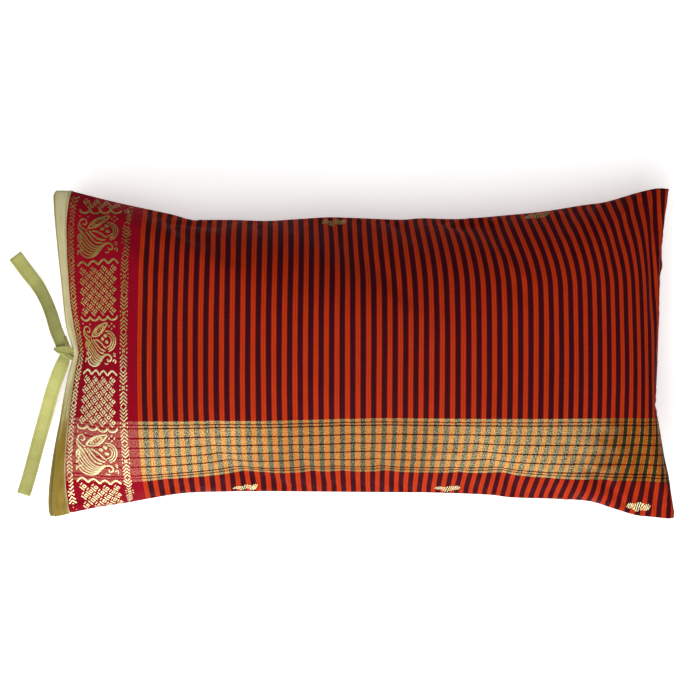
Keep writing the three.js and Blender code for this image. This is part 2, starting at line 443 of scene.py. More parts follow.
def band_satin():
    """Satin with painted sheen: pale high on the band, where its sheen is painted on, and dark gold lower
    down, where painted shade takes over. Painted shade runs along its folded edges.
    """
    r = Recipe("band_satin")
    u, v = r.cloth()
    # Painted sheen and shade: turned is one lower down the band, where the painted sheen gives way to
    # painted shade
    turned = (v + (r.noise(u / 5, v / 30) - 0.5) * 90).ramp(70, 150, 1, 0)
    # A lit copy and a shaded copy of the satin, each with random tone
    lit_satin = r.mix(linear("#BEB682"), linear("#E2DAAA"), r.noise(u / 1.2, v / 16))
    shaded_satin = r.mix(linear("#75600E"), linear("#9C8224"), r.noise(u / 1.5, v / 22))
    color = r.mix(lit_satin, shaded_satin, turned)
    # Painted shade along the band's folded outer edge and along its seam
    folds = (u + BAND).between(-1, 2.2, 0.8).most(u.between(-3.4, -2.0, 0.7))
    color = r.mix(color, linear("#8A7A40"), folds * 0.6)
    # Stitches in the seam: pale beads of thread, with painted seam shade between them
    beads = (v / 2.4).fract().between(0.25, 0.75, 0.2)
    stitches_and_seam_shade = r.mix(linear("#6E5A30"), linear("#D8D2A0"), beads)
    color = r.mix(color, stitches_and_seam_shade, u.between(-2.0, -0.7, 0.4) * 0.4)
    # By the seam: dark crimson on the upper band and a pale line lower down, switched by the painted-shade
    # mask turned
    color = r.mix(color, r.mix(linear("#6A1820"), linear("#D2CE98"), turned), u.ramp(-0.8, -0.4))
    r.set(color=color, roughness=0.45, specular=0.2)
    r.bump(weave(u, v, 0.8) * 0.4 + r.noise(u / 3, v / 9) * 0.6, 0.25)
    return r.material


def tie_cotton():
    """Matt cotton tape, folded and stitched along both edges."""
    r = Recipe("tie_cotton")
    across, along = r.cloth()
    cloudy = r.noise(across / 6, along / 14)
    color = r.mix(linear("#A4A45C"), linear("#C4C47C"), cloudy)
    off_edge = across.math("ABSOLUTE") * -1 + 1.0
    stitch = off_edge.between(0.27, 0.36, 0.05) * (along / 2.6).fract().between(0.15, 0.85, 0.2)
    color = r.mix(color, linear("#8E9048"), stitch * 0.6)
    r.set(color=color, roughness=0.8, specular=0.12)
    threads = weave(across * 6.5, along, 0.9) * 0.25 + r.noise(across * 3, along / 3) * 0.75
    r.bump(threads - stitch * 0.6, 0.3)
    return r.material


# Curves and grids


def cubic(count, places):
    """Weights that read a smooth curve through count values at places, which run from 0 to count - 1."""
    first = np.clip(places.astype(int), 0, count - 2)
    t = places - first
    shares = (
        (-t**3 + 2 * t**2 - t) / 2,
        (3 * t**3 - 5 * t**2 + 2) / 2,
        (-3 * t**3 + 4 * t**2 + t) / 2,
        (t**3 - t**2) / 2,
    )
    weights = np.zeros((len(places), count))
    for step, share in zip((-1, 0, 1, 2), shares):
        np.add.at(weights, (np.arange(len(places)), np.clip(first + step, 0, count - 1)), share)
    return weights


def smooth_line(points, shares):
    """Places at shares of the way along a smooth line through points, whose first columns are the place."""
    points = np.array(points, float)
    ticks = np.linspace(0, len(points) - 1, 24 * len(points))
    line = cubic(len(points), ticks) @ points
    steps = np.linalg.norm(np.diff(line[:, :3], axis=0), axis=1)
    along = np.concatenate([[0], np.cumsum(steps)])
    return np.stack([np.interp(shares * along[-1], along, line[:, k]) for k in range(line.shape[1])], axis=1)


def line_length(points):
    points = np.array(points, float)
    line = cubic(len(points), np.linspace(0, len(points) - 1, 24 * len(points))) @ points
    return np.linalg.norm(np.diff(line[:, :3], axis=0), axis=1).sum()


def smooth_step(x, low, high):
    t = np.clip((x - low) / (high - low), 0, 1)
    return t * t * (3 - 2 * t)


def blur(values, cells):
    """Values along a line, smoothed over a few cells."""
    steps = np.arange(-3 * cells, 3 * cells + 1)
    weights = np.exp(-0.5 * (steps / cells) ** 2)
    weights /= weights.sum()
    padded = np.pad(values, ((3 * cells, 3 * cells), (0, 0)), mode="reflect", reflect_type="odd")
    return np.stack([np.convolve(column, weights, mode="valid") for column in padded.T], axis=1)


# The filled cover's shape


def seam_height(u, v):
    """The height of the plane in which the seams lie."""
    along, across = 2 * np.clip(u / LENGTH, 0, 1) - 1, 2 * v / WIDTH - 1
    corner = along**4 * across**4
    opening = 1 - smooth_step(u, 0, 0.2 * LENGTH)
    return SEAM_HEIGHT - CORNER_DROP * corner - OPENING_DROP * opening


def sewn_outline():
    """Where the seams lie in plan when the cover is filled, carried evenly across the panel between them."""
    s, t = np.linspace(0, 1, SIM_COLUMNS + 1), np.linspace(0, 1, SIM_ROWS + 1)
    near, far = smooth_line(MOUTH_EDGE, t), smooth_line(RIGHT_SEAM, t)
    low, high = smooth_line(BOTTOM_SEAM, s), smooth_line(TOP_SEAM, s)
    low[0], high[0], low[-1], high[-1] = near[0], near[-1], far[0], far[-1]
    S, T = s[:, None, None], t[None, :, None]
    plan = (1 - T) * low[:, None] + T * high[:, None] + (1 - S) * near[None] + S * far[None]
    plan -= (1 - S) * (1 - T) * low[0] + S * (1 - T) * low[-1] + (1 - S) * T * high[0] + S * T * high[-1]
    return plan


def flat_panels():
    """Both flat panels as one mesh, closed all round: its points, faces, each point's number by column, row
    and side, and the numbers of the sewn points."""
    us = np.linspace(-BAND, LENGTH, SIM_COLUMNS + 1)
    vs = np.linspace(0, WIDTH, SIM_ROWS + 1)
    numbers, points, faces, sewn = {}, [], [], []
    for side in (1, -1):
        for i, u in enumerate(us):
            for j, v in enumerate(vs):
                on_seam = j in (0, SIM_ROWS) or i in (0, SIM_COLUMNS)
                if on_seam and side < 0:
                    numbers[i, j, side] = numbers[i, j, 1]
                    continue
                numbers[i, j, side] = len(points)
                if on_seam:
                    sewn.append(len(points))
                swell = 1.0 + 5.0 * math.sin(math.pi * i / SIM_COLUMNS) * math.sin(math.pi * j / SIM_ROWS)
                height = 0 if on_seam else side * swell
                points.append(((u - LENGTH / 2) * MM, (v - WIDTH / 2) * MM, height * MM))
        for i in range(SIM_COLUMNS):
            for j in range(SIM_ROWS):
                ring = [numbers[i + a, j + b, side] for a, b in ((0, 0), (1, 0), (1, 1), (0, 1))]
                faces.append(ring[::side])
    return points, faces, numbers, sewn


def draw_in_seams(cover, points, numbers):
    """Moves the panels from their flat outlines to the sewn ones over the first frames."""
    cover.shape_key_add(name="flat")
    drawn_in = cover.shape_key_add(name="drawn_in")
    plan = sewn_outline()
    for (i, j, _), n in numbers.items():
        drawn_in.data[n].co = (plan[i, j, 0] * MM, plan[i, j, 1] * MM, points[n][2])
    for value, f in ((0.0, 1), (1.0, SEWN_FRAMES)):
        drawn_in.value = value
        drawn_in.keyframe_insert("value", frame=f)


def add_filling(cover, numbers, sewn):
    """Cloth with pressure inside, held by its seams. The pressure fades out toward the opening."""
    seams = cover.vertex_groups.new(name="seams")
    seams.add(sewn, 1.0, "REPLACE")
    filled = cover.vertex_groups.new(name="filled")
    us = np.linspace(-BAND, LENGTH, SIM_COLUMNS + 1)
    for (i, _, _), n in numbers.items():
        filled.add([n], float(smooth_step(us[i], -10, 50)) * 0.94 + 0.06, "REPLACE")
    cloth = cover.modifiers.new("cloth", "CLOTH")
    s = cloth.settings
    s.quality = 6
    s.mass = 0.3
    s.tension_stiffness, s.compression_stiffness, s.shear_stiffness = 15, 15, 5
    s.bending_stiffness = 2.0
    s.tension_damping, s.compression_damping, s.shear_damping, s.bending_damping = 10, 10, 5, 0.5
    s.air_damping = 2
    s.use_pressure = True
    s.uniform_pressure_force = SIM_PRESSURE
    s.vertex_group_pressure = filled.name
    s.vertex_group_mass = seams.name
    s.effector_weights.gravity = 0
    cloth.collision_settings.use_self_collision = False
    cloth.point_cache.frame_end = SIM_FRAMES


def simulate():
    """Fills the panels with the cloth simulation while their seams draw in to the outlines.
    Returns {side: grid of places in millimetres}."""
    points, faces, numbers, sewn = flat_panels()
    mesh = bpy.data.meshes.new("filling")
    mesh.from_pydata(points, [], faces)
    cover = bpy.data.objects.new("filling", mesh)
    SCENE.collection.objects.link(cover)
    draw_in_seams(cover, points, numbers)
    add_filling(cover, numbers, sewn)
    SCENE.frame_start, SCENE.frame_end = 1, SIM_FRAMES
    for f in range(1, SIM_FRAMES + 1):
        SCENE.frame_set(f)
    shape = cover.evaluated_get(bpy.context.evaluated_depsgraph_get()).data
    places = np.empty(len(points) * 3)
    shape.vertices.foreach_get("co", places)
    places = places.reshape(-1, 3) / MM
    SCENE.frame_set(1)
    bpy.data.objects.remove(cover)
    bpy.data.meshes.remove(mesh)
    grids = {}
    for side in (1, -1):
        rows = [[numbers[i, j, side] for j in range(SIM_ROWS + 1)] for i in range(SIM_COLUMNS + 1)]
        grids[side] = places[np.array(rows)]
    return grids


def calm(grid):
    """Lets the folds down a little, except close to the seams, as a full pillow's cloth lies."""
    columns, rows = grid.shape[:2]
    even = np.stack([blur(grid[:, j], 4) for j in range(rows)], axis=1)
    even = np.stack([blur(even[i], 4) for i in range(columns)], axis=0)
    i, j = np.meshgrid(np.arange(columns), np.arange(rows), indexing="ij")
    from_seam = np.minimum.reduce([i, columns - 1 - i, j, rows - 1 - j])
    keep = FOLDS_KEPT + (1 - FOLDS_KEPT) * np.exp(-from_seam / 4.0)
    return even + (grid - even) * keep[..., None]


def guide_band(fine, us, side):
    """Lays the band between its two outlines in plan, and leads the cloth beyond into the filled shape."""
    t = np.linspace(0, 1, fine.shape[1])
    edge, seam = smooth_line(MOUTH_EDGE, t), smooth_line(BAND_SEAM, t)
    if side < 0:
        edge[:, 0] -= BACK_PEEK * (1 - smooth_step(t, 0.1, 0.35))
    share = np.clip((us + BAND) / BAND, 0, None)[:, None, None]
    inner = edge[None] + (seam - edge)[None] * np.minimum(share, 1)
    on = np.clip(us, 0, None)[:, None]
    aside = 2 * t - 1
    lean = SEAM_LEAN[0] * np.clip(-aside, 0, 1) + SEAM_LEAN[1] * np.clip(aside, 0, 1)
    past_band = np.clip(us - BAND_SECTION[0][0], 0, None)[:, None]
    steep = STEEP_EDGE * past_band * np.exp(-past_band / 14) * (1 - aside**2)
    beyond = np.stack([on * (0.8 + 0.17 * aside**2) - steep, on * lean], axis=-1)
    held = (1 - smooth_step(us, 0, BAND_REACH))[:, None, None]
    fine[:, :, :2] = fine[:, :, :2] * (1 - held) + (inner + beyond) * held
    return fine


def open_mouth(front, back, u, v):
    """Holds the two panels a little apart at the opening, where they hang free of the filling."""
    near = 1 - smooth_step(u, -BAND, -BAND + LIP_FADE)
    to_knot = np.abs(2 * v / WIDTH - 1)
    lip = LIP_AT_KNOT + (LIP_APART - LIP_AT_KNOT) * smooth_step(to_knot, 0.05, 0.5)
    lip = lip * (1 - to_knot**10)
    apart = np.maximum(front - back, 0)
    middle = (front + back) / 2
    apart = apart * (1 - near) + (lip + apart * 0.25) * near
    middle = middle * (1 - 0.7 * near)
    return middle + apart / 2, middle - apart / 2


def rest_on_floor(z):
    """Heights over the surface, where what would sink below it lies flat, with a round edge."""
    r = FLOOR_ROUNDING
    return np.where(z > r, z, np.where(z < -r, 0, (z + r) ** 2 / (4 * r)))


def puckers(u, v):
    """Small gathers along the sewn seams, as heights off the cloth."""
    height = np.zeros(np.broadcast(u, v).shape)
    for along, from_seam in ((u, v), (u, WIDTH - v), (v, LENGTH - u)):
        fade = np.clip(from_seam / 4, 0, 1) * np.exp(-from_seam / 11)
        for _ in range(7):
            length, phase, lean = CHANCE.uniform(9, 30), CHANCE.uniform(0, 6.28), CHANCE.uniform(-0.4, 0.4)
            swell = CHANCE.uniform(60, 200)
            wave = np.sin((along + lean * from_seam) * 2 * math.pi / length + phase)
            height = height + 0.34 * fade * wave * (0.5 + 0.5 * np.sin(along * 2 * math.pi / swell + phase))
    return height


class Cloth:
    """One panel with its band: where each point (u, v) of the flat cloth lies, and its outward side."""

    def __init__(self, places, side):
        self.places, self.side = places, side
        along, across = np.gradient(places, axis=0), np.gradient(places, axis=1)
        normals = np.cross(along, across) * side
        self.normals = normals / np.linalg.norm(normals, axis=2, keepdims=True)

    def at(self, u, v, lift=0.0):
        """Places over the cloth at u and v, lift millimetres off it."""
        columns, rows = self.places.shape[:2]
        a = np.clip((u + BAND) / CELL, 0, columns - 1.000001)
        b = np.clip(v / CELL, 0, rows - 1.000001)
        i, j = a.astype(int), b.astype(int)
        s, t = (a - i)[..., None], (b - j)[..., None]

        def read(grid):
            near = grid[i, j] * (1 - t) + grid[i, j + 1] * t
            far = grid[i + 1, j] * (1 - t) + grid[i + 1, j + 1] * t
            return near * (1 - s) + far * s

        return read(self.places) + read(self.normals) * np.asarray(lift)[..., None]


def fill_cover():
    """The two panels as they lie, each a fine grid."""
    grids = simulate()
    columns, rows = round((BAND + LENGTH) / CELL), round(WIDTH / CELL)
    us, vs = np.linspace(-BAND, LENGTH, columns + 1), np.linspace(0, WIDTH, rows + 1)
    u, v = us[:, None], vs[None, :]
    along = cubic(SIM_COLUMNS + 1, np.linspace(0, SIM_COLUMNS, columns + 1))
    across = cubic(SIM_ROWS + 1, np.linspace(0, SIM_ROWS, rows + 1))
    fine = {}
    for side, grid in grids.items():
        panel = np.einsum("ia,abk,jb->ijk", along, calm(grid), across)
        panel[:, :, 2] *= (CROWN if side > 0 else BELLY) / np.abs(panel[:, :, 2]).max()
        fine[side] = guide_band(panel, us, side)
    fine[1][:, :, 2], fine[-1][:, :, 2] = open_mouth(fine[1][:, :, 2], fine[-1][:, :, 2], u, v)
    panels = {}
    for side, panel in fine.items():
        panel[:, :, 2] = panel[:, :, 2] + seam_height(u, v)
        smooth = Cloth(panel, side)
        panel = panel + smooth.normals * puckers(u, v)[..., None]
        panel[:, :, 2] = rest_on_floor(panel[:, :, 2])
        panels[side] = Cloth(panel, side)
    return panels


# Meshes


def add_mesh(name, points, faces, material, uv=None):
    """An object with this mesh, its points given in millimetres. uv gives each point's cloth coordinates."""
    mesh = bpy.data.meshes.new(name)
    mesh.from_pydata((np.asarray(points) * MM).tolist(), [], [list(f) for f in faces])
    if uv is not None:
        layer = mesh.uv_layers.new(name="cloth")
        corners = np.empty(len(mesh.loops), int)
        mesh.loops.foreach_get("vertex_index", corners)
        layer.data.foreach_set("uv", np.asarray(uv)[corners].astype(np.float32).ravel())
    work = bmesh.new()
    work.from_mesh(mesh)
    bmesh.ops.delete(work, geom=[p for p in work.verts if not p.link_faces], context="VERTS")
    bmesh.ops.recalc_face_normals(work, faces=work.faces)
    work.to_mesh(mesh)
    work.free()
    mesh.shade_smooth()
    mesh.materials.append(material)
    piece = bpy.data.objects.new(name, mesh)
    SCENE.collection.objects.link(piece)
    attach(piece, BODY)
    return piece


def grid_faces(columns, rows, start=0):
    """Quads over a grid of columns by rows cells, whose points are numbered column by column from start."""
    i, j = np.meshgrid(np.arange(columns), np.arange(rows), indexing="ij")
    a = start + i * (rows + 1) + j
    return np.stack([a, a + rows + 1, a + rows + 2, a + 1], axis=-1).reshape(-1, 4).tolist()


def near_seams(v, reach):
    """Nought on the top and bottom seams and one from reach inside them."""
    return smooth_step(np.minimum(v, WIDTH - v), 0, reach)


# The cover's edge at the opening, from deep inside to where it lies on the filling: u, and the height
# off the cloth
TURNED_EDGE = (
    (9.0, -3.4), (4.0, -2.6), (1.4, -1.2), (0.3, -0.1), (-0.1, 0.7), (0.5, 1.3), (2.0, 1.35),
    (4.5, 1.0), (7.5, 0.45), (11.0, 0.1),
)
EDGE_TOP = 5  # the row from which the turned edge is seen


def cover_piece(panels, material):
    """The filled cover: both panels, sewn on three sides, their edges at the opening turned in."""
    start = TURNED_EDGE[-1][0]
    first = math.ceil(start / CELL)
    grid_us = np.arange(first, round(LENGTH / CELL) + 1) * CELL
    us = np.array([u for u, _ in TURNED_EDGE] + grid_us[grid_us > start + 0.5].tolist())
    lifts = np.array([lift for _, lift in TURNED_EDGE] + [0.0] * (len(us) - len(TURNED_EDGE)))
    vs = np.linspace(0, WIDTH, round(WIDTH / CELL) + 1)
    u, v = np.meshgrid(us, vs, indexing="ij")
    lift = lifts[:, None] * near_seams(v, 5)
    points = np.concatenate([panels[side].at(u, v, lift).reshape(-1, 3) for side in (1, -1)])
    uv = np.stack([np.maximum(u, 0.5), v], axis=-1).reshape(-1, 2)
    columns, rows = len(us) - 1, len(vs) - 1
    count = len(uv)
    numbers = np.arange(2 * count)
    for i in range(columns + 1):
        for j in (range(rows + 1) if i == columns else (0, rows)):
            numbers[count + i * (rows + 1) + j] = i * (rows + 1) + j
    faces = np.array(grid_faces(columns, rows) + [f[::-1] for f in grid_faces(columns, rows, count)])
    wall = [(j + 1, j, count + j, count + j + 1) for j in range(rows)]
    faces = numbers[faces].tolist() + [tidy_ring(numbers[list(ring)]) for ring in wall]
    return add_mesh("sari_cover", points, faces, material, np.concatenate([uv, uv]))


def tidy_ring(ring):
    """A face's points with none given twice."""
    return list(dict.fromkeys(int(n) for n in ring))


# The band's section, from under the cover round the free edge and back inside: u, and the height off
# the cloth
BAND_SECTION = (
    (3.0, -0.25), (1.4, -0.2), (0.2, 0.45), (-0.8, 1.1), (-1.7, 1.2), (-2.6, 0.75), (-3.6, 0.8),
    (-6.0, 1.15), (-9.0, 1.3), (-12.5, 1.25), (-14.6, 0.95), (-15.4, 1.0), (-16.6, 1.35),
    (-17.6, 1.15), (-18.0, 0.65), (-17.6, 0.15), (-16.0, 0.05), (-9.0, 0.05), (-0.5, -0.1),
    (1.4, -0.9), (3.0, -0.95),
)
ROUNDED_CORNER = 6.0  # how far down the band its upper corner is rounded


def band_piece(name, cloth, material):
    """A satin band sewn along one panel's edge at the opening."""
    rows = round(WIDTH / CELL)
    vs = np.linspace(0, WIDTH, rows + 1)
    us, lifts = np.array(BAND_SECTION).T
    ripple = 1 + 0.12 * np.sin(vs / 4.1 + 2 * np.sin(vs / 31))
    u, v = np.meshgrid(us, vs, indexing="ij")
    lift = np.where(lifts[:, None] > 0.3, lifts[:, None] * ripple[None, :], lifts[:, None])
    rounding = np.clip((v - WIDTH) / ROUNDED_CORNER + 1, 0, 1)
    reach = np.maximum(u, -BAND + 3.5 * rounding**2)
    points = cloth.at(reach, v, lift).reshape(-1, 3)
    faces = grid_faces(len(us) - 1, rows)
    last = (len(us) - 1) * (rows + 1)
    faces += [(last + j, j, j + 1, last + j + 1) for j in range(rows)]
    for j in (0, rows):
        faces.append([i * (rows + 1) + j for i in range(len(us))])
    return add_mesh(name, points, faces, material, np.stack([u, v], axis=-1).reshape(-1, 2))


# Threads that float on the cloth


def edge_height(u, v):
    """How far the cover's turned edge stands off the filled shape, from where the border begins."""
    us, lifts = np.array(TURNED_EDGE[EDGE_TOP:]).T
    return np.interp(u, us, lifts, right=0) * near_seams(v, 5)


THREAD_RISE = 0.28  # how far a ridge stands off the cloth
THREAD_SECTION = ((-1.0, -0.12), (-0.55, 0.75), (0.0, 1.0), (0.55, 0.75), (1.0, -0.12))  # shares across, up
THREAD_STEP = 1.3


def thread_line(points, smooth):
    """Evenly spaced places along the line through points, or the points where it isn't smooth."""
    line = np.array(points, float)
    length = np.linalg.norm(np.diff(line, axis=0), axis=1).sum()
    shares = np.linspace(0, 1, max(2, math.ceil(length / THREAD_STEP) + 1))
    if smooth and len(points) > 2:
        return smooth_line(points, shares)
    if len(points) == 2:
        return line[0] + (line[1] - line[0]) * shares[:, None]
    return line


def left_of(line, closed):
    """The unit direction to the left of a flat line at each of its points."""
    if closed:
        ahead, behind = np.roll(line[:-1], -1, axis=0), np.roll(line[:-1], 1, axis=0)
        along = np.concatenate([ahead - behind, (ahead - behind)[:1]])
    else:
        along = np.gradient(line, axis=0)
    along = along / np.maximum(np.linalg.norm(along, axis=1, keepdims=True), 1e-9)
    return np.stack([-along[:, 1], along[:, 0]], axis=1)


class Threads:
    """Gold threads laid on one panel, as low rounded ridges."""

    def __init__(self, cloth):
        self.cloth = cloth
        self.points, self.faces, self.uv = [], [], []

    def stroke(self, points, width, closed=False, smooth=True):
        """A ridge along the line through points (u, v), all in millimetres of cloth."""
        points = [tuple(p) for p in points]
        if closed:
            points.append(points[0])
        line = thread_line(points, smooth)
        inside = (line[:, 1] > -0.5 + width / 2) & (line[:, 1] < WIDTH + 0.5 - width / 2)
        if not inside.all():
            return
        shares, rises = np.array(THREAD_SECTION).T
        uv = line[:, None, :] + left_of(line, closed)[:, None, :] * (shares * width / 2)[None, :, None]
        lift = np.broadcast_to(rises * THREAD_RISE, uv.shape[:2]).copy()
        if not closed:
            lift[[0, -1]] = rises[0] * THREAD_RISE
        lift = lift + edge_height(uv[..., 0], uv[..., 1])
        start = sum(len(p) for p in self.points)
        places = self.cloth.at(uv[..., 0], uv[..., 1], lift).reshape(-1, 3)
        places[:, 2] = np.maximum(places[:, 2], 0)
        self.points.append(places)
        self.uv.append(uv.reshape(-1, 2))
        self.faces += grid_faces(len(line) - 1, len(shares) - 1, start)

    def piece(self, name, material):
        return add_mesh(name, np.concatenate(self.points), self.faces, material, np.concatenate(self.uv))


def weave_guard(threads, guard):
    """A narrow band of nested diamonds that meet in small crosses, with a pair of dots on either side."""
    middle, half = guard
    first = math.floor(-GUARD_MIDDLE / GUARD_PITCH)
    for k in range(first, math.ceil((WIDTH - GUARD_MIDDLE) / GUARD_PITCH) + 1):
        centre = GUARD_MIDDLE + k * GUARD_PITCH
        cross = centre + GUARD_PITCH / 2
        threads.stroke([(middle - 0.6, centre), (middle + 0.6, centre)], 1.3)
        for ring in range(1, GUARD_RINGS + 1):
            reach = GUARD_PITCH / 2 * ring / GUARD_RINGS
            arm = min(half, reach) if ring < GUARD_RINGS else 1.9
            for way in (1, -1):
                tip, foot = centre + way * reach, centre + way * (reach - arm)
                chevron = [(middle - arm, foot), (middle, tip), (middle + arm, foot)]
                threads.stroke(chevron, 1.6, smooth=False)
        for side in (-1, 1):
            for way in (-1, 1):
                dot, level = middle + side * (half - 1.1), cross + way * 2.0
                threads.stroke([(dot - 0.7, level), (dot + 0.7, level)], 1.9)


def weave_scallops(threads, line, way):
    """Four arcs across the field. They peak upward where way is 1 and hang round below where it is -1."""
    left, right = FIELD
    reach = (right - left) / 8
    for k in range(4):
        middle = left + (2 * k + 1) * reach
        arc = []
        for x in (-1, -0.7, -0.35, 0, 0.35, 0.7, 1):
            rise = 1 - abs(x) ** 1.6 if way > 0 else math.sqrt(1 - 0.97 * x * x)
            arc.append((middle + reach * x, line + way * (4.8 * rise - 2.4)))
        threads.stroke(arc, 2.0)


LATTICE_MARGIN = 7.0  # from a scallop line to the middle of the lattice's nearest row
LATTICE_RISE = 5.16


def weave_lattice(threads, low, high):
    """Small square rings in offset rows, each with a chevron of two bars round its left."""
    left, right = FIELD
    pitch = (right - left) / 4
    row, v = 0, high - LATTICE_MARGIN
    while v > low + 4.0:
        for k in range(4 - row % 2):
            u = left + (k + 0.5 + row % 2 / 2) * pitch
            ring = [(u - 0.4, v), (u + 1.4, v + 1.8), (u + 3.2, v), (u + 1.4, v - 1.8)]
            threads.stroke(ring, 1.6, closed=True, smooth=False)
            threads.stroke([(u - 2.6, v + 1.1), (u - 0.1, v + 3.8)], 1.15)
            threads.stroke([(u - 3.4, v - 0.3), (u + 0.8, v - 4.7)], 1.4)
        row, v = row + 1, v - LATTICE_RISE


# The paisley, in millimetres from the field's lower left corner: (width, closed, points)
LEAF = ((10.5, 36.5), (12.6, 41.0), (16.6, 45.6), (22.0, 49.0), (31.5, 51.4), (28.6, 46.0), (24.4, 40.8),
        (18.6, 37.2))
PAISLEY_LINES = (
    (1.3, False, ((9.8, 34.5), (6.5, 36.0), (3.2, 39.2), (1.6, 43.6), (3.6, 47.4), (7.4, 47.2), (8.9, 43.8),
                  (7.0, 41.0), (5.0, 42.8))),
    (1.3, False, ((0.9, 43.0), (0.7, 38.4), (2.6, 34.0), (6.0, 30.0), (8.0, 27.0))),
    (1.5, False, ((8.6, 33.2), (12.4, 27.6), (16.0, 22.0), (20.4, 18.0), (26.0, 17.2))),
    (1.6, False, ((11.8, 33.6), (15.4, 28.6), (19.2, 24.2), (23.6, 21.2), (29.0, 19.8))),
    (1.6, False, ((14.8, 33.0), (19.0, 31.6), (23.4, 28.8), (27.0, 25.2), (30.8, 22.6))),
    (1.2, False, ((29.2, 42.2), (34.2, 41.8), (38.8, 38.8), (41.3, 33.4), (41.1, 27.4), (38.4, 22.4),
                  (33.6, 19.4))),
    (1.1, False, ((31.6, 39.8), (36.0, 38.4), (39.0, 33.4), (38.8, 28.0), (36.2, 23.8), (32.6, 21.6))),
    (1.1, False, ((34.0, 36.8), (36.6, 33.0), (36.4, 28.6), (34.2, 25.6), (31.0, 24.4))),
    (2.9, False, ((23.4, 34.6), (25.4, 33.8), (27.0, 32.4))),
    (2.9, False, ((27.4, 38.2), (29.6, 37.0), (31.4, 35.4))),
    (2.7, False, ((29.0, 30.8), (31.2, 30.0), (32.8, 28.6))),
    (1.6, False, ((23.0, 8.2), (25.6, 12.2), (29.8, 15.6), (34.0, 15.4), (36.8, 12.6), (36.0, 9.0),
                  (32.8, 8.6), (32.4, 11.2))),
    (1.1, False, ((39.0, 17.6), (42.0, 15.8))),
    (1.1, False, ((39.0, 15.2), (42.0, 13.4))),
    (1.1, False, ((38.6, 7.8), (40.4, 10.2), (42.3, 8.4), (41.0, 5.8))),
    (1.1, False, ((28.6, 6.2), (31.0, 5.0), (33.4, 5.6))),
    (1.1, True, ((2.0, 30.2), (0.5, 26.2), (1.0, 22.4), (2.6, 20.6), (4.2, 22.8), (3.8, 26.6))),
    (1.0, False, ((2.0, 27.4), (2.4, 23.2))),
    (1.1, False, ((0.2, 18.2), (3.4, 14.6))),
    (1.1, False, ((0.2, 14.6), (3.2, 18.2))),
    (1.2, False, ((0.4, 5.6), (1.2, 9.0), (4.2, 11.4), (7.4, 12.6))),
    (1.2, False, ((1.2, 9.2), (0.3, 11.6))),
    (1.3, False, ((0.6, 50.6), (1.6, 51.8))),
    (1.2, False, ((9.2, 49.8), (10.4, 51.0))),
)
BODY_FIRST = ((1.9, 36.6), (6.6, 30.4), (10.6, 23.4), (14.8, 17.2), (19.6, 13.8), (24.8, 13.8), (28.6, 16.6))
BODY_LAST = ((3.2, 9.6), (5.0, 6.2), (7.8, 3.6), (11.4, 2.2), (15.2, 2.2), (19.0, 3.8), (22.2, 6.8))
BODY_STRIPES = 6
PAISLEY_FOOT = 4.6  # from the lower scallops to the paisley's base line
PAISLEY_HEIGHT = 0.875  # how much the tables' heights are pressed to fit between the scallops


def weave_paisley(threads, base):
    """A striped paisley under a hatched leaf, with a curled stem and small sprigs round it."""
    left = FIELD[0]

    def draw(width, closed, points, smooth=True):
        threads.stroke([(left + x, base + PAISLEY_FOOT + y * PAISLEY_HEIGHT) for x, y in points],
                       width * 1.15, closed, smooth)

    for width, closed, points in PAISLEY_LINES:
        draw(width, closed, points)
    leaf = np.array(LEAF)
    heart = leaf.mean(axis=0)
    draw(1.4, True, LEAF)
    draw(0.9, True, heart + (leaf - heart) * 0.62)
    for k in range(5):
        x = 14.6 + 2.6 * k
        y = 39.4 + 1.9 * k
        draw(1.0, False, ((x - 0.7, y + 1.1), (x + 0.7, y - 1.1)))
    first, last = np.array(BODY_FIRST), np.array(BODY_LAST)
    for k in range(BODY_STRIPES):
        share = k / (BODY_STRIPES - 1)
        stripe = first + (last - first) * share
        draw(1.35, False, stripe)
    for x, y in ((36.9, 50.4), (34.0, 47.5), (39.8, 47.5), (36.9, 44.6)):
        draw(1.9, False, ((x - 0.9, y), (x + 0.9, y)))


BUTA_LOW, BUTA_HIGH = 9.5, WIDTH - 8.5
BUTAS = ((178, BUTA_LOW), (382, BUTA_LOW), (577, BUTA_LOW), (272, BUTA_HIGH), (477, BUTA_HIGH))


def weave_buta(threads, u, v):
    """A small gold motif of three hatched lobes."""
    for x, reach, tall in ((-8.6, 3.6, 8.0), (0.0, 4.6, 10.5), (8.6, 3.6, 8.0)):
        for k in range(4):
            shift = (k - 1.5) * reach / 2
            half = tall / 2 * math.sqrt(max(0.15, 1 - (shift / reach) ** 2))
            threads.stroke([(u + x + shift - 1.4, v - half), (u + x + shift + 1.4, v + half)], 1.1)
    for x in (-4.6, 4.6):
        for way in (-1, 1):
            chevron = [(u + x - 1.4, v + way * 4.0), (u + x, v + way * 1.8), (u + x + 1.4, v + way * 4.0)]
            threads.stroke(chevron, 1.0, smooth=False)


def gold_piece(name, cloth, material):
    """All the gold that floats on one panel: the border and the scattered motifs."""
    threads = Threads(cloth)
    weave_guard(threads, GUARD_ONE)
    weave_guard(threads, GUARD_TWO)
    edges = (0.0,) + SCALLOPS + (WIDTH,)
    for k, (low, high) in enumerate(zip(edges, edges[1:])):
        if k % 2:
            weave_paisley(threads, low)
            weave_scallops(threads, low, 1)
            weave_scallops(threads, high, -1)
        else:
            weave_lattice(threads, low, high)
    for u, v in BUTAS:
        weave_buta(threads, u, v)
    return threads.piece(name, material)


# Ties

